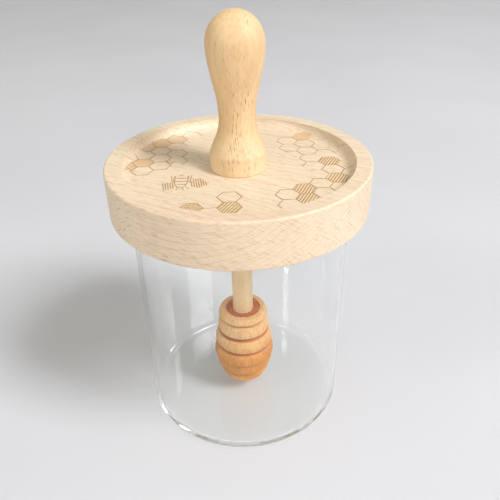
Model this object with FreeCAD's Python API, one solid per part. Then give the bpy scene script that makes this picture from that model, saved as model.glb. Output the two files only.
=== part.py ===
import FreeCAD, Part
import math
import os

# Honey jar with a turned wooden lid, and a honey dipper that hangs through it.
# Millimetres, +Z up. Origin at the centre of the jar's base, on the table.

V = FreeCAD.Vector

# ---- glass jar: plain straight cylinder with a thin wall -------------------
JAR_R = 42.8            # outer radius
JAR_H = 96.2            # rim height, where the lid sits
WALL = 2.0              # wall thickness
FLOOR = 2.3             # thickness of the glass floor
HEEL_R = 3.4            # outer rounding of the bottom corner
INNER_HEEL_R = 2.6      # inner rounding where wall meets floor
LIP_R = 0.7             # fire-polished rounding of the rim

# ---- lid: thick beech disc with a coved recess in its top -------------------
LID_R = 50.0
LID_T = 18.2
LID_EASE = 0.8          # eased outer edges
RIM_W = 6.0             # flat ring left round the recess
COVE_R = 4.0            # quarter-round cove from ring to recess floor
PLUG_GAP = 0.45         # play between the plug and the jar's mouth
PLUG_H = 6.0            # how deep the plug reaches into the mouth
PLUG_CHAMFER = 1.0
HOLE_PLAY = 0.10        # play round the dowel in the lid's hole

# ---- knob: turned handle that stands on the recess floor --------------------
KNOB_H = 55.9           # floor of the recess to the crown
KNOB_BASE_R = 10.6
KNOB_NECK_R = 6.67
KNOB_BALL_R = 10.34
KNOB_SKIRT_H = 6.6      # height of the straight foot, up to its shoulder
KNOB_FLARE = 0.68       # below 1 the foot draws in early, just above the shoulder
KNOB_NECK_H = 19.8      # height of the narrowest place
KNOB_BALL_H = 45.0      # height of the widest place of the head
KNOB_EASE = 0.5
SOCKET_DEPTH = 16.0     # blind hole that takes the dowel

# ---- dowel -------------------------------------------------------------------
DOWEL_R = 4.35

# ---- dipper head: six turned rings, the fourth one the widest ----------------
HEAD_TOP = 43.9         # top ring's upper face
HEAD_TIP = 4.5          # lowest point above the table
# lower edge of each ring, its radius at the upper and at the lower edge, and the
# width and depth of the groove below it
RINGS = (
    (40.6, 10.35, 10.65, 0.7, 1.5),
    (34.1, 10.75, 11.30, 1.6, 3.2),
    (26.8, 11.95, 12.75, 1.4, 3.0),
    (19.9, 12.85, 13.35, 1.0, 2.6),
    (13.5, 12.55, 11.90, 0.7, 1.8),
)
RING_CROWN = 0.25       # how much a ring's side swells between its edges
RING_UPPER_EDGE = 1.2   # rounding of a ring's upper edge
RING_LOWER_EDGE = 0.6   # rounding of a ring's lower edge
TOP_EDGE = 1.2          # softer rounding of the top ring's upper edge
TIP_R = 11.30           # radius where the rounded tip starts
TIP_POWER = 2.9         # fullness of the tip
TIP_WIDE_Z = 20.0       # height where the tip's outline would be widest
DISH_RIM = 2.6          # width of the ring left round the dished top
DISH_DEPTH = 0.6
HEAD_SOCKET = 14.0      # depth of the dowel's hole below the dish

LID_Z = JAR_H
LID_TOP = LID_Z + LID_T
RECESS_Z = LID_TOP - COVE_R


def pt(r, z):
    return V(r, 0, z)


def seg(a, b):
    return Part.makeLine(pt(*a), pt(*b))


def arc(a, m, b):
    return Part.Arc(pt(*a), pt(*m), pt(*b)).toShape()


def corner(cx, cz, rad, a0, a1):
    """Quarter round about (cx, cz), from angle a0 to a1 in degrees."""
    def p(a):
        t = math.radians(a)
        return (cx + rad * math.cos(t), cz + rad * math.sin(t))
    return arc(p(a0), p((a0 + a1) / 2.0), p(a1))


def curve(points):
    c = Part.BSplineCurve()
    c.interpolate([pt(*q) for q in points])
    return c.toShape()


def turned(edges):
    """Solid of revolution about Z from a closed half profile."""
    wire = Part.Wire(Part.__sortEdges__(edges))
    face = Part.Face(wire)
    solid = face.revolve(V(0, 0, 0), V(0, 0, 1), 360)
    if solid.ShapeType != "Solid":
        solid = solid.Solids[0]
    if solid.Volume < 0:
        solid.reverse()
    return solid


# ---- the pieces ---------------------------------------------------------------
def jar():
    ri = JAR_R - WALL
    ho, hi, lip = HEEL_R, INNER_HEEL_R, LIP_R
    e = []
    e.append(seg((0, 0), (JAR_R - ho, 0)))
    e.append(corner(JAR_R - ho, ho, ho, -90, 0))
    e.append(seg((JAR_R, ho), (JAR_R, JAR_H - lip)))
    e.append(corner(JAR_R - lip, JAR_H - lip, lip, 0, 90))
    e.append(seg((JAR_R - lip, JAR_H), (ri + lip, JAR_H)))
    e.append(corner(ri + lip, JAR_H - lip, lip, 90, 180))
    e.append(seg((ri, JAR_H - lip), (ri, FLOOR + hi)))
    e.append(corner(ri - hi, FLOOR + hi, hi, 0, -90))
    e.append(seg((ri - hi, FLOOR), (0, FLOOR)))
    e.append(seg((0, FLOOR), (0, 0)))
    return turned(e)


def lid():
    hole = DOWEL_R + HOLE_PLAY
    plug = JAR_R - WALL - PLUG_GAP
    rec = LID_R - RIM_W
    z0, z1, ze = LID_Z, LID_TOP, LID_Z - PLUG_H
    s, c = LID_EASE, PLUG_CHAMFER
    e = []
    e.append(seg((hole, ze), (plug - c, ze)))
    e.append(seg((plug - c, ze), (plug, ze + c)))
    e.append(seg((plug, ze + c), (plug, z0)))
    e.append(seg((plug, z0), (LID_R - s, z0)))
    e.append(corner(LID_R - s, z0 + s, s, -90, 0))
    e.append(seg((LID_R, z0 + s), (LID_R, z1 - s)))
    e.append(corner(LID_R - s, z1 - s, s, 0, 90))
    e.append(seg((LID_R - s, z1), (rec, z1)))
    # hollow quarter round down to the floor of the recess
    e.append(corner(rec - COVE_R, z1, COVE_R, 0, -90))
    e.append(seg((rec - COVE_R, RECESS_Z), (hole, RECESS_Z)))
    e.append(seg((hole, RECESS_Z), (hole, ze)))
    return turned(e)


def knob_radius(h):
    """Turned outline: foot, waist, then a swelling up to the ball."""
    if h <= KNOB_SKIRT_H:
        return KNOB_BASE_R
    if h <= KNOB_NECK_H:
        t = (h - KNOB_SKIRT_H) / (KNOB_NECK_H - KNOB_SKIRT_H)
        k = (1 - math.cos(math.pi * t ** KNOB_FLARE)) / 2
        return KNOB_BASE_R + (KNOB_NECK_R - KNOB_BASE_R) * k
    t = (h - KNOB_NECK_H) / (KNOB_BALL_H - KNOB_NECK_H)
    k = (1 - math.cos(math.pi * t)) / 2
    return KNOB_NECK_R + (KNOB_BALL_R - KNOB_NECK_R) * k


def knob():
    z = RECESS_Z
    n = 16
    lower = [(knob_radius(h), z + h) for h in
             [KNOB_SKIRT_H + (KNOB_NECK_H - KNOB_SKIRT_H) * (i / n) ** 1.3 for i in range(n + 1)]]
    upper = [(knob_radius(h), z + h) for h in
             [KNOB_NECK_H + (KNOB_BALL_H - KNOB_NECK_H) * i / n for i in range(n + 1)]]
    cap_h = KNOB_H - KNOB_BALL_H
    e = []
    s = KNOB_EASE
    e.append(seg((DOWEL_R, z), (KNOB_BASE_R - s, z)))
    e.append(corner(KNOB_BASE_R - s, z + s, s, -90, 0))
    e.append(seg((KNOB_BASE_R, z + s), (KNOB_BASE_R, z + KNOB_SKIRT_H)))
    e.append(curve(lower + upper[1:]))
    # crown: a quarter ellipse, a little taller than it is wide
    zc = z + KNOB_BALL_H
    crown = [(KNOB_BALL_R * math.cos(a), zc + cap_h * math.sin(a))
             for a in [math.pi / 2 * i / 14 for i in range(14)]] + [(0.0, zc + cap_h)]
    c = Part.BSplineCurve()
    c.interpolate([pt(*q) for q in crown], InitialTangent=V(0, 0, 1), FinalTangent=V(-1, 0, 0))
    e.append(c.toShape())
    e.append(seg((0, z + KNOB_H), (0, z + SOCKET_DEPTH)))
    e.append(seg((0, z + SOCKET_DEPTH), (DOWEL_R, z + SOCKET_DEPTH)))
    e.append(seg((DOWEL_R, z + SOCKET_DEPTH), (DOWEL_R, z)))
    return turned(e)


def dowel():
    z0 = HEAD_TOP - DISH_DEPTH - HEAD_SOCKET
    z1 = RECESS_Z + SOCKET_DEPTH
    return Part.makeCylinder(DOWEL_R, z1 - z0, V(0, 0, z0))


def ring_side(r_a, z_a, r_b, z_b):
    """Crowned side of a ring, from its upper edge down to its lower edge."""
    n = 6
    return curve([(r_a + (r_b - r_a) * i / n + RING_CROWN * math.sin(math.pi * i / n),
                   z_a + (z_b - z_a) * i / n) for i in range(n + 1)])


def tip_outline(z_a):
    """Superellipse from the last groove down to the axis."""
    span = TIP_WIDE_Z - HEAD_TIP
    p = 2.0 / TIP_POWER
    t0 = (TIP_WIDE_Z - z_a) / span
    wide = TIP_R / (1 - t0 ** TIP_POWER) ** (1 / TIP_POWER)
    a0 = math.asin(t0 ** (1 / p))
    n = 14
    pts = []
    for i in range(n + 1):
        a = a0 + (math.pi / 2 - a0) * i / n
        pts.append((wide * max(0.0, math.cos(a)) ** p, TIP_WIDE_Z - span * math.sin(a) ** p))
    pts[0] = (TIP_R, z_a)
    pts[-1] = (0.0, HEAD_TIP)
    return pts


def dipper_head():
    e = []
    zd = HEAD_TOP - DISH_DEPTH
    rd = RINGS[0][1] - DISH_RIM
    zs = zd - HEAD_SOCKET
    # socket for the dowel, then the dished end with its rim
    e.append(seg((0, zs), (DOWEL_R, zs)))
    e.append(seg((DOWEL_R, zs), (DOWEL_R, zd)))
    e.append(seg((DOWEL_R, zd), (rd - DISH_DEPTH, zd)))
    e.append(corner(rd - DISH_DEPTH, HEAD_TOP, DISH_DEPTH, -90, 0))
    e.append(seg((rd, HEAD_TOP), (RINGS[0][1] - TOP_EDGE, HEAD_TOP)))
    top, ease = HEAD_TOP, TOP_EDGE
    low = RING_LOWER_EDGE
    for n, (z_b, r_a, r_b, gap, deep) in enumerate(RINGS):
        e.append(corner(r_a - ease, top - ease, ease, 90, 0))
        e.append(ring_side(r_a, top - ease, r_b, z_b + low))
        e.append(corner(r_b - low, z_b + low, low, 0, -90))
        nxt = z_b - gap
        r_next = RINGS[n + 1][1] if n + 1 < len(RINGS) else TIP_R
        ease_next = RING_UPPER_EDGE if n + 1 < len(RINGS) else RING_LOWER_EDGE
        core = min(r_b, r_next) - deep
        e.append(seg((r_b - low, z_b), (core, z_b)))
        e.append(seg((core, z_b), (core, nxt)))
        e.append(seg((core, nxt), (r_next - ease_next, nxt)))
        top, ease = nxt, ease_next
    # rounded tip
    e.append(corner(TIP_R - ease, top - ease, ease, 90, 0))
    pts = tip_outline(top - ease)
    dr, dz = pts[1][0] - pts[0][0], pts[1][1] - pts[0][1]
    c = Part.BSplineCurve()
    c.interpolate([pt(*q) for q in pts], InitialTangent=V(dr, 0, dz), FinalTangent=V(-1, 0, 0))
    e.append(c.toShape())
    e.append(seg((0, HEAD_TIP), (0, zs)))
    return turned(e)


PIECES = (
    ("jar", jar),
    ("lid", lid),
    ("knob", knob),
    ("dowel", dowel),
    ("dipper_head", dipper_head),
)

os.makedirs("parts", exist_ok=True)
for name, make in PIECES:
    shape = make()
    shape.exportStep("parts/%s.step" % name)
    b = shape.BoundBox
    print("%-12s valid %s solids %d volume %.0f mm3  z %.2f..%.2f  r %.2f" % (
        name, shape.isValid(), len(shape.Solids), shape.Volume, b.ZMin, b.ZMax, b.XMax))
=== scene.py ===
import math

import bpy
import numpy as np
from mathutils import Euler, Matrix, Vector
from mathutils.geometry import delaunay_2d_cdt


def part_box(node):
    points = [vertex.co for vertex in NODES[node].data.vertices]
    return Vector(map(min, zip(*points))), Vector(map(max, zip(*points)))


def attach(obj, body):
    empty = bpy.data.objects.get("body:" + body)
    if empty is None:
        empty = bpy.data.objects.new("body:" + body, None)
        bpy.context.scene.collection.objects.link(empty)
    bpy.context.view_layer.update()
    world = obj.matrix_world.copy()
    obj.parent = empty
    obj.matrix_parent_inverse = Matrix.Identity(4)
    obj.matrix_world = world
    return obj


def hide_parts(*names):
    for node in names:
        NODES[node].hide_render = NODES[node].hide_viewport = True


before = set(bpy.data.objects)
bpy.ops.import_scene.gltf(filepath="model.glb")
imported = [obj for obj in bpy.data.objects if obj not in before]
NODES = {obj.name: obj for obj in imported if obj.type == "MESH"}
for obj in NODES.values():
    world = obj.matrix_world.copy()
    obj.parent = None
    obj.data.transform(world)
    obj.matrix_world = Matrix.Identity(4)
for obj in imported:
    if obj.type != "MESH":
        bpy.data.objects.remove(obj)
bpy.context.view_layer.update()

MM = 0.001
SCENE = bpy.context.scene


# ---------------------------------------------------------------- sizes, mm --
lid_lo, lid_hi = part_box("lid")
jar_lo, jar_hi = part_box("jar")
knob_lo, knob_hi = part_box("knob")
dowel_lo, dowel_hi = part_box("dowel")
head_lo, head_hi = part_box("dipper_head")

LID_R = lid_hi.x / MM
LID_TOP = lid_hi.z / MM
JAR_R = jar_hi.x / MM
JAR_H = jar_hi.z / MM
RECESS_Z = knob_lo.z / MM            # the knob stands on the recess floor
COVE_R = LID_TOP - RECESS_Z
RIM_W = 6.0
LID_EASE = 0.8
WALL = 2.0
GLASS_FLOOR = 2.3
HEEL_R = 3.4
INNER_HEEL_R = 2.6
LIP_R = 0.7
PLUG_R = JAR_R - WALL - 0.45
PLUG_Z = lid_lo.z / MM
HOLE_R = dowel_hi.x / MM + 0.10
REC_R = LID_R - RIM_W                # where the cove meets the flat ring
FLOOR_R = REC_R - COVE_R


# ------------------------------------------------------------- mesh helpers --
def mesh_object(name, verts, faces, mats, mat_ids=None, sharp=None):
    me = bpy.data.meshes.new(name)
    me.from_pydata([tuple(c * MM for c in v) for v in verts], [], faces)
    for m in mats:
        me.materials.append(m)
    if mat_ids is not None:
        me.polygons.foreach_set("material_index", mat_ids)
    me.polygons.foreach_set("use_smooth", [True] * len(me.polygons))
    me.validate()
    me.update()
    if sharp is not None:
        me.set_sharp_from_angle(angle=math.radians(sharp))
    ob = bpy.data.objects.new(name, me)
    SCENE.collection.objects.link(ob)
    return ob


def arc_pts(cx, cz, r, a0, a1, n):
    out = []
    for i in range(n + 1):
        a = math.radians(a0 + (a1 - a0) * i / n)
        out.append((cx + r * math.cos(a), cz + r * math.sin(a)))
    return out


def lathe(profile, n, verts, faces, close=False):
    """Adds rings for a list of (r, z); a radius of 0 is one point. Returns the index rows."""
    rows = []
    for r, z in profile:
        if r < 1e-6:
            rows.append([len(verts)])
            verts.append((0.0, 0.0, z))
        else:
            rows.append(list(range(len(verts), len(verts) + n)))
            for k in range(n):
                a = 2 * math.pi * k / n
                verts.append((r * math.cos(a), r * math.sin(a), z))
    pairs = list(zip(rows, rows[1:])) + ([(rows[-1], rows[0])] if close else [])
    for a, b in pairs:
        for k in range(n):
            l = (k + 1) % n
            if len(a) == 1:
                faces.append((a[0], b[l], b[k]))
            elif len(b) == 1:
                faces.append((a[k], a[l], b[0]))
            else:
                faces.append((a[k], a[l], b[l], b[k]))
    return rows


# ------------------------------------------------------------- node helpers --
class Tree:
    """Short hand for building a material's nodes."""

    def __init__(self, name):
        self.mat = bpy.data.materials.new(name)
        self.mat.use_nodes = True
        self.nt = self.mat.node_tree
        self.nt.nodes.clear()
        self.out = self.nt.nodes.new("ShaderNodeOutputMaterial")
        self.bsdf = self.nt.nodes.new("ShaderNodeBsdfPrincipled")
        self.nt.links.new(self.bsdf.outputs[0], self.out.inputs[0])

    def put(self, sock, value):
        if isinstance(value, bpy.types.NodeSocket):
            self.nt.links.new(value, sock)
        elif value is not None:
            sock.default_value = value

    def node(self, kind, **props):
        n = self.nt.nodes.new(kind)
        for k, v in props.items():
            setattr(n, k, v)
        return n

    def math(self, op, a, b=None, c=None, clamp=False):
        n = self.node("ShaderNodeMath", operation=op, use_clamp=clamp)
        self.put(n.inputs[0], a)
        self.put(n.inputs[1], b)
        if c is not None:
            self.put(n.inputs[2], c)
        return n.outputs[0]

    def vec(self, op, a, b=None):
        n = self.node("ShaderNodeVectorMath", operation=op)
        self.put(n.inputs[0], a)
        if b is not None:
            self.put(n.inputs[1], b)
        return n.outputs["Value"] if op in ("LENGTH", "DOT_PRODUCT", "DISTANCE") else n.outputs[0]

    def combine(self, x, y, z):
        n = self.node("ShaderNodeCombineXYZ")
        self.put(n.inputs[0], x)
        self.put(n.inputs[1], y)
        self.put(n.inputs[2], z)
        return n.outputs[0]

    def split(self, v):
        n = self.node("ShaderNodeSeparateXYZ")
        self.put(n.inputs[0], v)
        return n.outputs

    def noise(self, vec, scale=1.0, detail=2.0, rough=0.5, dist=0.0):
        n = self.node("ShaderNodeTexNoise", noise_dimensions="3D")
        self.put(n.inputs["Vector"], vec)
        n.inputs["Scale"].default_value = scale
        n.inputs["Detail"].default_value = detail
        n.inputs["Roughness"].default_value = rough
        n.inputs["Distortion"].default_value = dist
        return n.outputs["Fac"]

    def voronoi(self, vec, scale=1.0, feature="F1", rand=1.0):
        n = self.node("ShaderNodeTexVoronoi", voronoi_dimensions="3D", feature=feature)
        self.put(n.inputs["Vector"], vec)
        n.inputs["Scale"].default_value = scale
        n.inputs["Randomness"].default_value = rand
        return n.outputs["Distance"], n.outputs["Color"], n.outputs["Position"]

    def span(self, v, a, b, c=0.0, d=1.0, smooth=True):
        """v from a..b to c..d, clamped."""
        n = self.node("ShaderNodeMapRange", interpolation_type="SMOOTHSTEP" if smooth else "LINEAR", clamp=True)
        self.put(n.inputs[0], v)
        n.inputs[1].default_value = a
        n.inputs[2].default_value = b
        n.inputs[3].default_value = c
        n.inputs[4].default_value = d
        return n.outputs[0]

    def mix(self, f, a, b, blend="MIX"):
        n = self.node("ShaderNodeMix", data_type="RGBA", blend_type=blend, clamp_factor=True)
        self.put(n.inputs[0], f)
        self.put(n.inputs[6], a if isinstance(a, bpy.types.NodeSocket) else (*a, 1.0))
        self.put(n.inputs[7], b if isinstance(b, bpy.types.NodeSocket) else (*b, 1.0))
        return n.outputs[2]

    def scaled(self, v, s):
        """Vector times a plain triple."""
        return self.vec("MULTIPLY", v, s)

    def bump(self, height, strength, distance, normal=None):
        n = self.node("ShaderNodeBump")
        n.inputs["Strength"].default_value = strength
        n.inputs["Distance"].default_value = distance
        self.put(n.inputs["Height"], height)
        if normal is not None:
            self.put(n.inputs["Normal"], normal)
        return n.outputs[0]


def srgb(r, g, b):
    def f(c):
        c /= 255.0
        return c / 12.92 if c <= 0.04045 else ((c + 0.055) / 1.055) ** 2.4
    return (f(r), f(g), f(b))


# ------------------------------------------------------------------- beech ---
def unit(v):
    n = math.sqrt(sum(c * c for c in v))
    return tuple(c / n for c in v)


def beech(name, grain, radial, light, mid, dark, fleck, ring=2.6, pith=(0.0, 90.0), seed=0.0, tint=None,
          dash=((3.4, 1.05, 7.0), (1.35, 0.15, 3.2)), share=0.5, strength=0.6, fade=None,
          cluster=0.45,
          fibre=0.10, late=0.10, late_at=(0.50, 0.93), rough=0.56, relief=1.0, blotch=0.0, gloss=0.42):
    """Bare sanded beech. grain runs along the fibres and radial away from the tree's centre,
    which lies at pith = (across, in), in mm. dash gives the rays' spacing and half sizes along
    the fibres, across them and outwards."""
    t = Tree(name)
    g = unit(grain)
    r = unit(radial)
    c = unit((g[1] * r[2] - g[2] * r[1], g[2] * r[0] - g[0] * r[2], g[0] * r[1] - g[1] * r[0]))
    co = t.node("ShaderNodeTexCoord").outputs["Object"]
    mm = t.scaled(co, (1000.0, 1000.0, 1000.0))
    p = t.combine(t.vec("DOT_PRODUCT", mm, g), t.vec("DOT_PRODUCT", mm, c), t.vec("DOT_PRODUCT", mm, r))
    # the fibres wander a little
    s1 = t.vec("ADD", t.scaled(p, (0.016, 0.04, 0.04)), (seed * 3.1, seed * 1.7, seed * 2.3))
    s2 = t.vec("ADD", s1, (31.7, 5.1, 9.3))
    w1 = t.noise(s1, 1.0, 1.0, 0.4)
    w2 = t.noise(s2, 1.0, 1.0, 0.4)
    off = t.combine(0.0, t.math("MULTIPLY", t.math("SUBTRACT", w1, 0.5), 9.0),
                    t.math("MULTIPLY", t.math("SUBTRACT", w2, 0.5), 9.0))
    q = t.vec("ADD", t.vec("ADD", p, off), (seed * 17.3, seed * 29.1, seed * 23.9))
    flat = t.vec("ADD", p, off)
    # growth rings about the pith
    x, y, z = t.split(flat)[0:3]
    dy = t.math("SUBTRACT", y, pith[0])
    dz = t.math("ADD", z, pith[1])
    rad = t.math("SQRT", t.math("ADD", t.math("MULTIPLY", dy, dy), t.math("MULTIPLY", dz, dz)))
    vary = t.noise(t.combine(seed, 0.0, t.math("MULTIPLY", rad, 0.21)), 1.0, 1.0, 0.5)
    ph = t.math("ADD", t.math("DIVIDE", rad, ring), t.math("MULTIPLY", vary, 1.6))
    fr = t.math("FRACT", ph)
    lateband = t.math("MULTIPLY", t.span(fr, late_at[0], late_at[1]), t.span(fr, 0.94, 1.0, 1.0, 0.0))
    # fine fibres and pores, long along the grain
    fib = t.noise(t.scaled(q, (0.13, 2.4, 2.4)), 1.0, 3.0, 0.62)
    fib2 = t.noise(t.scaled(q, (0.035, 0.75, 0.75)), 1.0, 2.0, 0.55)
    pores = t.noise(t.scaled(q, (0.5, 6.0, 6.0)), 1.0, 1.0, 0.5)
    # broad slow change across the board
    slow = t.noise(t.scaled(q, (0.012, 0.055, 0.055)), 1.0, 2.0, 0.5)

    # rays: thin dark dashes on a tangential face, wide soft flecks on a radial one
    def rays(cells, half, shift, part):
        v = t.vec("ADD", t.scaled(q, tuple(1.0 / k for k in cells)), shift)
        d, col, pos = t.voronoi(v, 1.0)
        e = t.scaled(t.vec("SUBTRACT", v, pos), tuple(k / h for k, h in zip(cells, half)))
        c1, c2, c3 = t.split(col)[0:3]
        far = t.math("DIVIDE", t.vec("LENGTH", e), t.span(c3, 0.0, 1.0, 0.65, 1.15, smooth=False))
        on = t.math("MULTIPLY", t.span(far, 0.45, 1.0, 1.0, 0.0), t.span(c1, 1.0 - part, 1.0 - part + 0.05))
        return t.math("MULTIPLY", on, t.span(c2, 0.0, 1.0, 0.35, 1.0, smooth=False))

    cells, half = dash
    f1 = rays(cells, half, (3.3, 1.7, 0.4), share)
    f2 = rays(tuple(0.71 * k for k in cells), tuple(0.62 * k for k in half), (11.3, 7.7, 5.4), share)
    flecks = t.math("MAXIMUM", f1, t.math("MULTIPLY", f2, 0.75))
    group = t.noise(t.scaled(q, (0.06, 0.22, 0.16)), 1.0, 1.0, 0.5)
    flecks = t.math("MULTIPLY", flecks, t.span(group, 0.36, 0.62, cluster, 1.0))
    shown = t.math("MULTIPLY", flecks, strength)
    if fade is not None:
        # rays stand out only where they meet the surface edge-on
        across = t.math("ABSOLUTE", t.split(p)[1])
        shown = t.math("MULTIPLY", shown, t.span(across, fade[0], fade[1], 1.0, fade[2]))
    # colour
    base = t.mix(t.span(slow, 0.30, 0.70), light, mid)
    base = t.mix(t.math("MULTIPLY", lateband, late), base, dark)
    base = t.mix(t.math("MULTIPLY", t.span(fib, 0.35, 0.78), fibre), base, dark)
    base = t.mix(t.math("MULTIPLY", t.span(fib2, 0.42, 0.75), fibre * 0.9), base, dark)
    base = t.mix(t.math("MULTIPLY", t.span(pores, 0.60, 0.78), fibre * 0.8), base, fleck)
    if blotch:
        bl = t.noise(t.scaled(q, (0.05, 0.09, 0.09)), 1.0, 2.0, 0.5)
        base = t.mix(t.math("MULTIPLY", t.span(bl, 0.45, 0.75), blotch), base, dark)
    if tint is not None:
        base = tint(t, base, mm, p)
    base = t.mix(shown, base, fleck)
    t.put(t.bsdf.inputs["Base Color"], base)
    # roughness: pores dull, rays a touch shinier, handled patches smoother
    r0 = t.math("ADD", rough - 0.07, t.math("MULTIPLY", fib, 0.16))
    r1 = t.math("SUBTRACT", r0, t.math("MULTIPLY", flecks, 0.08))
    r2 = t.math("SUBTRACT", r1, t.math("MULTIPLY", t.span(slow, 0.4, 0.8), 0.05))
    t.put(t.bsdf.inputs["Roughness"], r2)
    t.bsdf.inputs["IOR"].default_value = 1.46
    t.bsdf.inputs["Specular IOR Level"].default_value = gloss
    h = t.math("ADD", t.math("MULTIPLY", fib, 0.55), t.math("MULTIPLY", pores, 0.25))
    h = t.math("SUBTRACT", h, t.math("MULTIPLY", flecks, 0.45))
    t.put(t.bsdf.inputs["Normal"], t.bump(h, 0.5 * relief, 0.00008))
    return t


WOOD_LIGHT = srgb(236, 217, 193)
WOOD_MID = srgb(232, 211, 185)
WOOD_DARK = srgb(198, 164, 124)
FLECK = srgb(150, 98, 46)

# lid: the fibres run across it, 30 degrees off the X axis, and the growth rings lie at 45 degrees
GRAIN_A = math.radians(-29.0)
lid_grain = (math.cos(GRAIN_A), math.sin(GRAIN_A), 0.0)
lid_across = (-math.sin(GRAIN_A), math.cos(GRAIN_A), 0.0)
lid_radial = (lid_across[0], lid_across[1], -1.0)



def lid_front_painted_shade(t, base, mm, p):
    x, y, z = t.split(mm)[0:3]
    r = t.math("SQRT", t.math("ADD", t.math("MULTIPLY", x, x), t.math("MULTIPLY", y, y)))
    side = t.span(z, LID_TOP - 0.8, LID_TOP - 0.1, 0.42, 0.85)
    # painted shade: the front of the rim's top, and more weakly the front of the side, is tinted darker and pinker
    painted_front_shade = t.math("MULTIPLY", t.span(y, -50.0, -30.0, 1.0, 0.0), t.span(r, REC_R - 1.5, REC_R + 0.5))
    return t.mix(t.math("MULTIPLY", painted_front_shade, side), base, (0.968, 0.885, 0.87), "MULTIPLY")


lid_t = beech("Beech_lid", lid_grain, lid_radial, WOOD_LIGHT, WOOD_MID, WOOD_DARK, FLECK,
              ring=1.9, pith=(20.0, -210.0), seed=1.0, share=0.92, strength=0.70, cluster=0.58,
              dash=((4.0, 0.80, 10.0), (2.1, 0.125, 5.6)), fibre=0.22, late=0.27, late_at=(0.70, 0.93), tint=lid_front_painted_shade)


def burn_material(name, core, edge):
    t = Tree(name)
    co = t.node("ShaderNodeTexCoord").outputs["Object"]
    mm = t.scaled(co, (1000.0, 1000.0, 1000.0))
    n1 = t.noise(t.scaled(mm, (0.55, 2.2, 2.2)), 1.0, 3.0, 0.6)
    n2 = t.noise(t.scaled(mm, (0.10, 0.12, 0.12)), 1.0, 2.0, 0.5)
    c = t.mix(t.span(n1, 0.30, 0.72), core, edge)
    c = t.mix(t.math("MULTIPLY", t.span(n2, 0.40, 0.72), 0.5), c, edge)
    t.put(t.bsdf.inputs["Base Color"], c)
    t.put(t.bsdf.inputs["Roughness"], t.math("ADD", 0.68, t.math("MULTIPLY", n1, 0.2)))
    t.bsdf.inputs["Specular IOR Level"].default_value = 0.3
    t.put(t.bsdf.inputs["Normal"], t.bump(n1, 0.5, 0.00006))
    return t.mat


BURN = burn_material("Burnt_line", srgb(177, 142, 102), srgb(199, 166, 128))
HATCH = burn_material("Burnt_hatch", srgb(174, 132, 68), srgb(198, 162, 98))
TINT_ORANGE = burn_material("Burnt_tint_orange", srgb(212, 174, 132), srgb(220, 188, 150))
TINT_ROSE = burn_material("Burnt_tint_rose", srgb(214, 184, 150), srgb(222, 196, 164))


# -------------------------------------------------- ornament on the recess ---
def hex_lattice(side, rot, ox, oy):
    c, s = math.cos(math.radians(rot)), math.sin(math.radians(rot))

    def vertex(i, j, k=None):
        u = 1.5 * i
        v = math.sqrt(3) / 2 * i + math.sqrt(3) * j
        if k is not None:
            u += math.cos(math.pi / 3 * k)
            v += math.sin(math.pi / 3 * k)
        u *= side
        v *= side
        return (ox + c * u - s * v, oy + s * u + c * v)
    return vertex


RIGHT = hex_lattice(4.38, 2.9, 16.55, -24.5)
LEFT = hex_lattice(4.31, 4.1, -36.43, -1.36)
FRONT = hex_lattice(4.35, 0.5, -3.45, -32.7)

LINE_W = 0.46
shapes = []     # (kind, polygon): 1 burnt line, 2 hatching, 3 and 4 tinted cells


def stroke(a, b, w=LINE_W, ends=True, kind=1):
    ax, ay = a
    bx, by = b
    dx, dy = bx - ax, by - ay
    n = math.hypot(dx, dy)
    if n < 1e-6:
        return
    dx, dy = dx / n, dy / n
    h = w / 2
    pts = []
    if ends:
        base = math.atan2(dy, dx)
        for k in range(5):
            t = base - math.pi / 2 + math.pi * k / 4
            pts.append((bx + h * math.cos(t), by + h * math.sin(t)))
        for k in range(5):
            t = base + math.pi / 2 + math.pi * k / 4
            pts.append((ax + h * math.cos(t), ay + h * math.sin(t)))
    else:
        pts = [(ax + dy * h, ay - dx * h), (bx + dy * h, by - dx * h),
               (bx - dy * h, by + dx * h), (ax - dy * h, ay + dx * h)]
    shapes.append((kind, pts))


drawn = set()


def side_line(lat, i, j, k, w=LINE_W, part=(0.0, 1.0)):
    a, b = lat(i, j, k), lat(i, j, (k + 1) % 6)
    key = tuple(sorted([(round(a[0], 1), round(a[1], 1)), (round(b[0], 1), round(b[1], 1))]))
    if key in drawn:
        return
    drawn.add(key)
    lerp = lambda t: (a[0] + (b[0] - a[0]) * t, a[1] + (b[1] - a[1]) * t)
    stroke(lerp(part[0]), lerp(part[1]), w)


def outline(lat, i, j, sides=(0, 1, 2, 3, 4, 5), w=LINE_W):
    for k in sides:
        side_line(lat, i, j, k, w)


def clip(poly, p, d):
    """Where the line p + t*d enters and leaves a convex polygon (counter-clockwise)."""
    t0, t1 = -1e9, 1e9
    n = len(poly)
    for k in range(n):
        ax, ay = poly[k]
        bx, by = poly[(k + 1) % n]
        nx, ny = ay - by, bx - ax          # inward normal
        den = nx * d[0] + ny * d[1]
        num = nx * (p[0] - ax) + ny * (p[1] - ay)
        if abs(den) < 1e-9:
            if num < 0:
                return None
            continue
        t = -num / den
        if den > 0:
            t0 = max(t0, t)
        else:
            t1 = min(t1, t)
    return (t0, t1) if t1 - t0 > 0.25 else None


def hatch(poly, angle, pitch, w, shift=0.0):
    cx = sum(q[0] for q in poly) / len(poly)
    cy = sum(q[1] for q in poly) / len(poly)
    a = math.radians(angle)
    d = (math.cos(a), math.sin(a))
    m = (-d[1], d[0])
    for k in range(-12, 13):
        s = (k + shift) * pitch
        p = (cx + m[0] * s, cy + m[1] * s)
        hit = clip(poly, p, d)
        if hit:
            stroke((p[0] + d[0] * hit[0], p[1] + d[1] * hit[0]),
                   (p[0] + d[0] * hit[1], p[1] + d[1] * hit[1]), w, ends=False, kind=2)


def cell(lat, i, j, shrink=1.0):
    c = lat(i, j)
    return [(c[0] + (v[0] - c[0]) * shrink, c[1] + (v[1] - c[1]) * shrink)
            for v in (lat(i, j, k) for k in range(6))]


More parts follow.
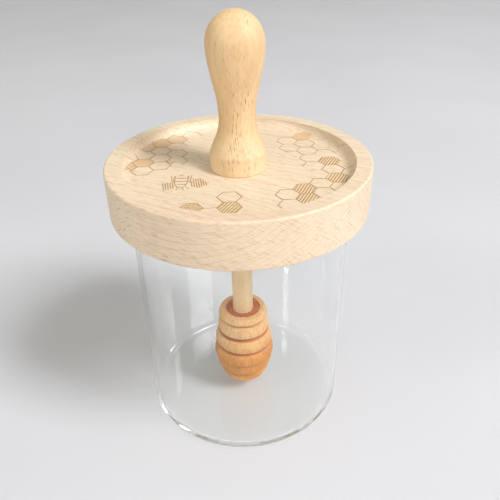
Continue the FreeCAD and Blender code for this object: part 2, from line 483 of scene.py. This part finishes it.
def hatched(lat, i, j, angle=66.0, pitch=1.04, w=0.54, shift=0.0, edge=0.30):
    hatch(cell(lat, i, j, 0.97), angle, pitch, w, shift)
    outline(lat, i, j, w=edge)


def tinted(lat, i, j, kind=3):
    shapes.append((kind, cell(lat, i, j, 1.0)))


# right-hand group
for ij in ((0, 0), (2, 0), (2, -1), (3, 1), (3, -1)):
    outline(RIGHT, *ij)
outline(RIGHT, 0, -1, sides=(2, 3, 0, 1), w=0.42)
side_line(RIGHT, 0, -1, 4, 0.40, (0.0, 0.45))
for n, ij in enumerate(((1, 0), (1, -1), (3, 0), (3, 2))):
    hatched(RIGHT, *ij, angle=(68, 66, 64, 64)[n], shift=(0.0, 0.3, 0.6, 0.2)[n])
side_line(RIGHT, 2, 1, 1, 0.40, (0.55, 1.0))
outline(RIGHT, 2, 2, sides=(1, 2), w=0.36)
outline(RIGHT, 2, 3, sides=(1, 2, 3), w=0.36)
outline(RIGHT, 2, 4, sides=(1, 2, 3, 0, 5), w=0.36)
outline(RIGHT, 2, 5, sides=(2, 3, 0), w=0.34)
outline(RIGHT, 1, 5, sides=(1, 4, 3, 2), w=0.34)
outline(RIGHT, 1, 6, sides=(1, 0, 2, 3), w=0.34)
outline(RIGHT, 0, 6, sides=(0, 5), w=0.34)
outline(RIGHT, 3, 3, sides=(0, 1, 2), w=0.38)
outline(RIGHT, 3, 4, sides=(2, 3), w=0.36)
tinted(RIGHT, 2, 6)
outline(RIGHT, 2, 6, sides=(3, 4), w=0.34)
outline(RIGHT, 4, 0, sides=(2, 3, 1), w=0.38)
outline(RIGHT, 4, 1, sides=(2, 3), w=0.38)
# front group
outline(FRONT, 0, 1)
hatched(FRONT, 0, 0, angle=61, pitch=1.08, w=0.56, edge=0.34)
hatched(FRONT, -2, 1, angle=56, pitch=0.98, w=0.54, edge=0.26)
side_line(FRONT, -1, 0, 1, 0.34)
side_line(FRONT, -1, 0, 2, 0.30, (0.1, 0.75))
# left-hand group
for ij in ((0, 0), (0, 2), (1, 0)):
    outline(LEFT, *ij)
outline(LEFT, 1, 1, w=0.38)
outline(LEFT, 1, 2, w=0.46)
for n, ij in enumerate(((0, 1), (0, 3), (1, 3), (2, 3))):
    tinted(LEFT, *ij, kind=(3, 4, 3, 4)[n])
outline(LEFT, 0, 1)
outline(LEFT, 0, 3, sides=(5, 0, 4, 3), w=0.42)
outline(LEFT, 1, 3, sides=(0, 1, 2, 3), w=0.42)
outline(LEFT, 2, 3, w=0.34)
outline(LEFT, 3, 3, sides=(1, 2, 0), w=0.34)
outline(LEFT, 3, 2, sides=(2, 3), w=0.30)
outline(LEFT, 2, 0, sides=(0, 5), w=0.32)
outline(LEFT, 2, 1, sides=(0, 5, 1), w=0.32)
hatch(cell(LEFT, -1, 1, 0.97), 66, 1.04, 0.44)
outline(LEFT, -1, 1, sides=(0, 5), w=0.40)
hatch([LEFT(2, 0, 3), LEFT(2, 0, 4), LEFT(2, 0)], 112, 1.0, 0.34)

# bee between the groups: belly towards the back, head towards the front
BX, BY = -21.0, -11.6


def poly_line(pts, w, close=False):
    q = list(pts) + ([pts[0]] if close else [])
    for a, b in zip(q, q[1:]):
        stroke(a, b, w)


def bee(points):
    return [(BX + x, BY + y) for x, y in points]


# outline of the belly, open at the back where it ends in a small point
flank = [(-2.35, 4.5), (-2.45, 1.5), (-2.35, -1.2), (-1.95, -3.2), (-1.2, -4.6), (-0.45, -5.3)]
poly_line(bee(flank), 0.42)
poly_line(bee([(-x * 0.96, y) for x, y in flank]), 0.46)
for yb, x0, x1, wb in ((2.5, -2.2, 2.1, 0.66), (0.0, -2.2, 2.1, 0.66), (-2.5, -1.1, 1.9, 0.74), (-5.0, -0.8, 0.9, 0.62)):
    poly_line(bee([(x0, yb), ((x0 + x1) / 2, yb - 0.15), (x1, yb + 0.05)]), wb)
stroke(*bee([(-0.5, 5.35), (0.4, 5.35)]), 0.6)
poly_line(bee([(-1.2, -5.4), (-1.25, -7.1)]), 0.34)
poly_line(bee([(0.9, -5.2), (1.3, -7.1)]), 0.34)
poly_line(bee([(2.0, -4.6), (3.1, -6.5)]), 0.34)
# narrow hind wings along the belly
poly_line(bee([(-2.45, 0.2), (-3.3, -0.6), (-3.9, 4.9)]), 0.40)
poly_line(bee([(-2.6, 4.7), (-2.9, 1.2), (-2.6, -1.0)]), 0.34)
poly_line(bee([(2.35, 0.0), (3.2, -0.6), (3.6, 4.9)]), 0.50)
poly_line(bee([(2.3, 4.5), (2.7, 1.6)]), 0.40)
left_wing = bee([(-7.3, -1.2), (-6.3, -7.7), (-2.0, -5.3), (-2.1, -1.1)])
right_wing = bee([(3.6, -0.2), (4.2, -4.6), (6.3, -5.9), (9.6, -3.6), (10.0, -1.8), (6.8, 2.1), (4.6, 1.6)])
hatch(left_wing, 98, 0.86, 0.40)
hatch(right_wing, 98, 0.86, 0.40)


# ---------------------------------------------------------------- the lid ----
N = 256
EDGE_R = 43.0
LINE_D = 0.16


def recess_z(r):
    if r <= FLOOR_R:
        return RECESS_Z
    k = min(r - FLOOR_R, COVE_R - 1e-6)
    return RECESS_Z + COVE_R - math.sqrt(COVE_R ** 2 - k * k)


verts, faces, mids = [], [], []
# outside, underside, plug and bore, from the cove's edge round to the bore's top
a0 = math.degrees(math.asin((EDGE_R - FLOOR_R) / COVE_R)) - 90.0
prof = [(FLOOR_R + COVE_R * math.cos(math.radians(a)), LID_TOP + COVE_R * math.sin(math.radians(a)))
        for a in [a0 + (0 - a0) * i / 8 for i in range(9)]]
prof += [(REC_R + 0.6, LID_TOP), (LID_R - LID_EASE - 0.6, LID_TOP)]
prof += arc_pts(LID_R - LID_EASE, LID_TOP - LID_EASE, LID_EASE, 90, 0, 6)
prof += [(LID_R, LID_TOP - LID_EASE - 0.5)]
zs = [JAR_H + LID_EASE + (LID_TOP - JAR_H - 2 * LID_EASE) * f for f in (0.75, 0.5, 0.25)]
prof += [(LID_R, z) for z in zs]
prof += [(LID_R, JAR_H + LID_EASE + 0.5)]
prof += arc_pts(LID_R - LID_EASE, JAR_H + LID_EASE, LID_EASE, 0, -90, 6)
prof += [(PLUG_R, JAR_H), (PLUG_R, PLUG_Z + 1.0), (PLUG_R - 1.0, PLUG_Z), (HOLE_R, PLUG_Z),
         (HOLE_R, (PLUG_Z + RECESS_Z) / 2)]
rows = lathe(prof, N, verts, faces)
mids += [0] * len(faces)

# recess floor: cut into triangles along every engraved edge
pts2, edges2, faces2, kinds = [], [], [], []


def ring2(r, n):
    s = len(pts2)
    for k in range(n):
        a = 2 * math.pi * k / n
        pts2.append(Vector((r * math.cos(a), r * math.sin(a))))
    for k in range(n):
        edges2.append((s + k, s + (k + 1) % n))


ring2(EDGE_R, N)
for r in (FLOOR_R, 40.45, 40.95, 41.5, 42.05, 42.55):
    ring2(r, N)
ring2(HOLE_R, N)
for kind, poly in shapes:
    kept = [q for q in poly]
    if max(math.hypot(*q) for q in kept) > EDGE_R - 0.05:
        # an engraved mark runs out a little way up the cove: pull its ends inside
        kept = [(q[0] * min(1.0, (EDGE_R - 0.08) / math.hypot(*q)),
                 q[1] * min(1.0, (EDGE_R - 0.08) / math.hypot(*q))) for q in kept]
    area = sum(a[0] * b[1] - a[1] * b[0] for a, b in zip(kept, kept[1:] + kept[:1])) / 2
    if abs(area) < 0.01:
        continue
    if area < 0:
        kept.reverse()
    s = len(pts2)
    pts2 += [Vector(q) for q in kept]
    faces2.append(list(range(s, s + len(kept))))
    kinds.append(kind)

cv, ce, cf, ov, oe, of_ = delaunay_2d_cdt(pts2, edges2, faces2, 0, 1e-4)
level = []
tris = []
for f, src in zip(cf, of_):
    c = Vector((0, 0))
    for i in f:
        c += cv[i]
    c /= len(f)
    if c.length < HOLE_R * math.cos(math.pi / N) or c.length > EDGE_R:
        continue
    k = min((kinds[j] for j in src), default=0)
    a, b, d = (cv[i] for i in f[:3])
    if (b - a).cross(d - a) < 0:
        f = list(reversed(f))
    tris.append(tuple(f))
    level.append(k)

copy = {}


def vid(i, low):
    key = (i, low)
    if key not in copy:
        r = cv[i].length
        x, y = cv[i]
        z = recess_z(r) - (LINE_D if low else 0.0)
        copy[key] = len(verts)
        verts.append((x, y, z))
    return copy[key]


side = {}
for f, k in zip(tris, level):
    low = k in (1, 2)
    faces.append(tuple(vid(i, low) for i in f))
    mids.append(k)
    for a, b in zip(f, f[1:] + f[:1]):
        side[(a, b)] = k
for (a, b), k in side.items():
    # an engraved face whose neighbour is not engraved gets a small wall
    if k in (1, 2) and side.get((b, a), 1) not in (1, 2):
        faces.append((vid(b, True), vid(a, True), vid(a, False), vid(b, False)))
        mids.append(k)

lid_ob = mesh_object("Lid_turned", verts, faces, [lid_t.mat, BURN, HATCH, TINT_ORANGE, TINT_ROSE], mids)

# join the two halves along their common rings
import bmesh
bm = bmesh.new()
bm.from_mesh(lid_ob.data)
# bore: bridge the last lathe ring to the recess floor's inner ring
bmesh.ops.remove_doubles(bm, verts=bm.verts, dist=2e-6)
loose = [e for e in bm.edges if len(e.link_faces) == 1]
near_bore = [e for e in loose if all(math.hypot(v.co.x, v.co.y) < (HOLE_R + 0.2) * MM for v in e.verts)]
if near_bore:
    bmesh.ops.bridge_loops(bm, edges=near_bore)
bmesh.ops.recalc_face_normals(bm, faces=bm.faces)
for f in bm.faces:
    f.smooth = True
left = len([e for e in bm.edges if len(e.link_faces) == 1])
print("lid open edges", left, "faces", len(bm.faces))
bm.to_mesh(lid_ob.data)
bm.free()
lid_ob.data.set_sharp_from_angle(angle=math.radians(32))
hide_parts("lid")
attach(lid_ob, "root")


# ------------------------------------------------------------------ glass ----
def glass_material(name):
    t = Tree(name)
    t.bsdf.inputs["Base Color"].default_value = (0.985, 0.992, 0.990, 1.0)
    t.bsdf.inputs["Roughness"].default_value = 0.0
    t.bsdf.inputs["IOR"].default_value = 1.49
    t.bsdf.inputs["Transmission Weight"].default_value = 1.0
    co = t.node("ShaderNodeTexCoord").outputs["Object"]
    mm = t.scaled(co, (1000.0, 1000.0, 1000.0))
    # drawn tube: very shallow waves, longer along the jar than round it
    n = t.noise(t.scaled(mm, (0.060, 0.060, 0.022)), 1.0, 1.0, 0.4)
    t.put(t.bsdf.inputs["Normal"], t.bump(n, 0.25, 0.0003))
    # thin clear glass throws hardly any shadow
    clear = t.node("ShaderNodeBsdfTransparent")
    clear.inputs["Color"].default_value = (0.955, 0.965, 0.96, 1.0)
    path = t.node("ShaderNodeLightPath")
    shader = t.bsdf.outputs[0]
    for ray in ("Is Shadow Ray", "Is Diffuse Ray"):
        both = t.node("ShaderNodeMixShader")
        t.nt.links.new(path.outputs[ray], both.inputs[0])
        t.nt.links.new(shader, both.inputs[1])
        t.nt.links.new(clear.outputs[0], both.inputs[2])
        shader = both.outputs[0]
    t.nt.links.new(shader, t.out.inputs[0])
    return t.mat


ri = JAR_R - WALL
jp = [(0.0, 0.0), (20.0, 0.0), (JAR_R - HEEL_R, 0.0)]
jp += arc_pts(JAR_R - HEEL_R, HEEL_R, HEEL_R, -90, 0, 18)[1:]
jp += [(JAR_R, HEEL_R + (JAR_H - LIP_R - HEEL_R) * f) for f in (0.02, 0.25, 0.5, 0.75, 0.98)]
jp += arc_pts(JAR_R - LIP_R, JAR_H - LIP_R, LIP_R, 0, 90, 8)
jp += arc_pts(ri + LIP_R, JAR_H - LIP_R, LIP_R, 90, 180, 8)
jp += [(ri, GLASS_FLOOR + INNER_HEEL_R + (JAR_H - LIP_R - GLASS_FLOOR - INNER_HEEL_R) * f)
       for f in (0.98, 0.75, 0.5, 0.25, 0.02)]
jp += arc_pts(ri - INNER_HEEL_R, GLASS_FLOOR + INNER_HEEL_R, INNER_HEEL_R, 0, -90, 16)
jp += [(20.0, GLASS_FLOOR), (0.0, GLASS_FLOOR)]
gv, gf = [], []
lathe(jp, 320, gv, gf)
jar_ob = mesh_object("Jar_glass", gv, gf, [glass_material("Clear_glass")])
bm = bmesh.new()
bm.from_mesh(jar_ob.data)
bmesh.ops.remove_doubles(bm, verts=bm.verts, dist=1e-6)
bmesh.ops.recalc_face_normals(bm, faces=bm.faces)
print("jar open edges", len([e for e in bm.edges if len(e.link_faces) == 1]))
bm.to_mesh(jar_ob.data)
bm.free()
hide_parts("jar")
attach(jar_ob, "root")

# ------------------------------------------------------- knob, dowel, head ---
UP = (0.0, 0.0, 1.0)        # their fibres stand upright
BACK = (0.0, 1.0, 0.0)

def knob_foot_painted_light(t, base, mm, p):
    # painted light: paler and whiter towards the foot, for light thrown up from the lid onto the upturned flare
    z = t.split(mm)[2]
    painted_foot_light = t.span(z, knob_lo.z / MM + 3.0, knob_lo.z / MM + 17.0, 1.0, 0.0)
    return t.mix(painted_foot_light, base, (1.05, 1.15, 1.36), "MULTIPLY")


knob_t = beech("Beech_knob", UP, BACK, srgb(233, 201, 157), srgb(229, 193, 144), srgb(200, 154, 98),
               srgb(154, 98, 40), ring=2.6, pith=(3.0, 60.0), seed=2.0, share=0.92, strength=1.0,
               dash=((2.9, 0.70, 5.0), (1.35, 0.155, 2.3)), fade=(3.0, 8.0, 0.26), fibre=0.18, late=0.12, blotch=0.3,
               cluster=0.3, gloss=0.30, tint=knob_foot_painted_light)
dowel_t = beech("Beech_dowel", UP, BACK, srgb(243, 213, 170), srgb(239, 204, 156), srgb(206, 158, 104),
                srgb(152, 104, 58), ring=2.2, pith=(0.0, 45.0), seed=3.0, share=0.6, strength=0.5,
                dash=((3.2, 0.8, 5.0), (1.3, 0.13, 2.2)), fibre=0.20, late=0.2)

HEAD_TOP = head_hi.z / MM
HEAD_TIP = head_lo.z / MM


# upper and lower edge of each ring with its radius there, as they are turned
RINGS = ((43.9, 10.35, 40.6, 10.65), (39.9, 10.75, 34.1, 11.30), (32.5, 11.95, 26.8, 12.75),
         (25.4, 12.85, 19.9, 13.35), (18.9, 12.55, 13.5, 11.90), (12.8, 11.30, 8.5, 9.20))


def head_tint(t, base, mm, p):
    x, y, z = t.split(mm)[0:3]
    r = t.math("SQRT", t.math("ADD", t.math("MULTIPLY", x, x), t.math("MULTIPLY", y, y)))
    warm = t.span(z, 21.0, 35.0, 1.0, 0.0)
    c = t.mix(warm, base, (0.81, 0.55, 0.17), "MULTIPLY")
    c = t.mix(t.span(z, 9.5, 13.5, 1.0, 0.0), c, (1.32, 1.32, 1.08), "MULTIPLY")
    # the outline's radius at this height, so that the grooves' floors can be told from the rings
    env = t.node("ShaderNodeFloatCurve")
    t.put(env.inputs["Value"], t.math("DIVIDE", z, 50.0))
    cur = env.mapping.curves[0]
    pts = [(3.0 / 50, 0.30), (5.0 / 50, 0.35)]
    for z_a, r_a, z_b, r_b in RINGS:
        pts += [(z_a / 50.0, r_a / 20.0), (z_b / 50.0, r_b / 20.0)]
    while len(cur.points) < len(pts):
        cur.points.new(0.5, 0.5)
    for cp, (u, v) in zip(cur.points, sorted(pts)):
        cp.location = (u, v)
        cp.handle_type = "VECTOR"
    env.mapping.update()
    gap = t.math("SUBTRACT", t.math("MULTIPLY", env.outputs[0], 20.0), r)
    sunk = t.span(gap, 0.15, 1.1)
    not_top = t.span(z, HEAD_TOP - 1.6, HEAD_TOP - 1.2, 1.0, 0.0)
    not_tip = t.span(z, HEAD_TIP + 5.0, HEAD_TIP + 6.0)
    groove_grain_and_shade = t.math("MULTIPLY", t.math("MULTIPLY", sunk, not_top), not_tip)
    streak = t.noise(t.scaled(mm, (2.3, 2.3, 0.30)), 1.0, 3.0, 0.65)
    much = t.math("ADD", 0.16, t.math("MULTIPLY", warm, 0.40))
    c = t.mix(t.math("MULTIPLY", t.span(streak, 0.44, 0.68), much), c, srgb(172, 94, 30))
    # grooves' floors and the rings' upward faces inside them: their end grain's brown, darkened further with painted
    # shade where the grooves lie in shadow
    c = t.mix(t.math("MULTIPLY", groove_grain_and_shade, 0.85), c, srgb(206, 122, 46))
    # the dished top painted dark brown: its end grain, deepened with painted shade from the lid above
    top = t.math("MULTIPLY", t.span(z, HEAD_TOP - 0.5, HEAD_TOP - 0.05, 1.0, 0.0), t.span(z, HEAD_TOP - 1.9, HEAD_TOP - 1.3))
    spots = t.noise(t.scaled(mm, (1.4, 1.4, 0.2)), 1.0, 3.0, 0.6)
    ragged = t.math("ADD", r, t.math("MULTIPLY", t.math("SUBTRACT", spots, 0.5), 3.2))
    inside = t.span(ragged, 6.9, 8.6, 1.0, 0.0)
    end = t.math("MULTIPLY", t.math("MULTIPLY", top, inside), 0.96)
    dish_grain_and_shade = t.mix(t.span(spots, 0.35, 0.65), srgb(156, 70, 12), srgb(204, 112, 32))
    return t.mix(end, c, dish_grain_and_shade)


head_t = beech("Beech_head", UP, BACK, srgb(244, 204, 152), srgb(240, 193, 135), srgb(200, 140, 80),
               srgb(146, 92, 46), ring=2.0, pith=(0.0, 40.0), seed=4.0, share=0.8, strength=0.6,
               dash=((3.0, 0.8, 5.0), (1.2, 0.13, 2.2)), fibre=0.40, late=0.26, gloss=0.18, rough=0.70, tint=head_tint, blotch=0.35)

for node, t in (("knob", knob_t), ("dowel", dowel_t), ("dipper_head", head_t)):
    for s in NODES[node].material_slots:
        s.material = t.mat


# ------------------------------------------------------------------ studio ---
def floor_material():
    t = Tree("Pale_floor")
    co = t.node("ShaderNodeTexCoord").outputs["Object"]
    n = t.noise(co, 6.0, 3.0, 0.5)
    f = t.noise(co, 900.0, 2.0, 0.5)
    c = t.mix(t.span(n, 0.3, 0.7), srgb(209, 208, 215), srgb(213, 212, 219))
    t.put(t.bsdf.inputs["Base Color"], c)
    t.bsdf.inputs["Specular IOR Level"].default_value = 0.15
    t.put(t.bsdf.inputs["Roughness"], t.math("ADD", 0.62, t.math("MULTIPLY", f, 0.1)))
    return t.mat


fv, ff = [], []
lathe([(0.0, -0.3), (150.0, -0.3), (600.0, -0.3), (2500.0, -0.3), (6000.0, -0.3)], 96, fv, ff)
floor_ob = mesh_object("Studio_floor", fv, ff, [floor_material()])
bm = bmesh.new()
bm.from_mesh(floor_ob.data)
for f in bm.faces:
    if f.normal.z < 0:
        f.normal_flip()
bm.to_mesh(floor_ob.data)
bm.free()

world = bpy.data.worlds.new("Studio_world")
SCENE.world = world
world.use_nodes = True
wn = world.node_tree
way = wn.nodes.new("ShaderNodeTexCoord")
parts = wn.nodes.new("ShaderNodeSeparateXYZ")
lift = wn.nodes.new("ShaderNodeMapRange")
lift.interpolation_type = "SMOOTHSTEP"
lift.inputs[1].default_value = 0.16
lift.inputs[2].default_value = 0.36
blend = wn.nodes.new("ShaderNodeMix")
blend.data_type = "RGBA"
blend.inputs[6].default_value = (0.955, 0.955, 0.965, 1.0)
blend.inputs[7].default_value = (0.99, 1.0, 0.90, 1.0)
wn.links.new(way.outputs["Generated"], parts.inputs[0])
wn.links.new(parts.outputs[2], lift.inputs[0])
wn.links.new(lift.outputs[0], blend.inputs[0])
wn.links.new(blend.outputs[2], wn.nodes["Background"].inputs[0])
wn.nodes["Background"].inputs[1].default_value = 0.47


def softbox(name, azimuth, elevation, distance, w, h, power, colour=(1, 1, 1), aim=(0, 0, 0.08), card=False):
    """azimuth: degrees to the right of the front (-Y), seen from above. A card only shows as a gleam."""
    a, e = math.radians(azimuth), math.radians(elevation)
    at = Vector(aim)
    pos = at + distance * Vector((math.sin(a) * math.cos(e), -math.cos(a) * math.cos(e), math.sin(e)))
    data = bpy.data.lights.new(name, "AREA")
    data.shape = "RECTANGLE"
    data.size = w
    data.size_y = h
    data.energy = power
    data.color = colour
    ob = bpy.data.objects.new(name, data)
    ob.location = pos
    ob.rotation_euler = (at - pos).to_track_quat("-Z", "Y").to_euler()
    ob.visible_camera = False
    ob.visible_diffuse = not card
    SCENE.collection.objects.link(ob)
    return ob


softbox("Key", 60, 48, 2.4, 0.60, 1.00, 49.0, (0.98, 0.99, 1.0))
softbox("Fill", -6, 22, 2.4, 1.5, 1.2, 14.5, (0.99, 1.0, 0.92))
softbox("Edge", -61, 38, 2.4, 0.20, 0.50, 4.2, (1.0, 0.98, 0.82))
# window-like cards that gleam in the glass
softbox("Card_right", 59, 40, 2.39, 1.25, 0.85, 100.0, (0.97, 0.98, 1.0), card=True)
softbox("Card_left", -61, 39, 2.39, 0.26, 0.85, 22.0, (0.97, 0.98, 1.0), card=True)
softbox("Card_back", 114, 38, 2.39, 0.40, 0.70, 25.0, (0.97, 0.98, 1.0), card=True)

# light runs far inside a glass base before it comes out
if hasattr(SCENE, "cycles"):
    SCENE.cycles.max_bounces = 64
    SCENE.cycles.transmission_bounces = 64
    SCENE.cycles.glossy_bounces = 64
    SCENE.cycles.transparent_max_bounces = 24

SCENE.view_settings.view_transform = "Standard"
SCENE.view_settings.look = "None"
SCENE.view_settings.exposure = 0.0
SCENE.view_settings.gamma = 1.0

# ------------------------------------------------------------------ camera ---
YAW, PITCH, ROLL = 0.0187, 0.5654, -0.0203
fwd = Vector((math.sin(YAW) * math.cos(PITCH), math.cos(YAW) * math.cos(PITCH), -math.sin(PITCH)))
right = Vector((math.cos(YAW), -math.sin(YAW), 0.0))
up = right.cross(fwd)
r2 = math.cos(ROLL) * right + math.sin(ROLL) * up
u2 = -math.sin(ROLL) * right + math.cos(ROLL) * up
cam_data = bpy.data.cameras.new("Camera")
cam_data.sensor_width = 36.0
cam_data.sensor_fit = "HORIZONTAL"
cam_data.lens = 39.98
cam_data.clip_start = 0.01
cam_data.clip_end = 50.0
cam = bpy.data.objects.new("Camera", cam_data)
m = Matrix((r2, u2, -fwd)).transposed().to_4x4()
m.translation = Vector((0.0, -195.27 * MM, 196.66 * MM))
cam.matrix_world = m
SCENE.collection.objects.link(cam)
SCENE.camera = cam
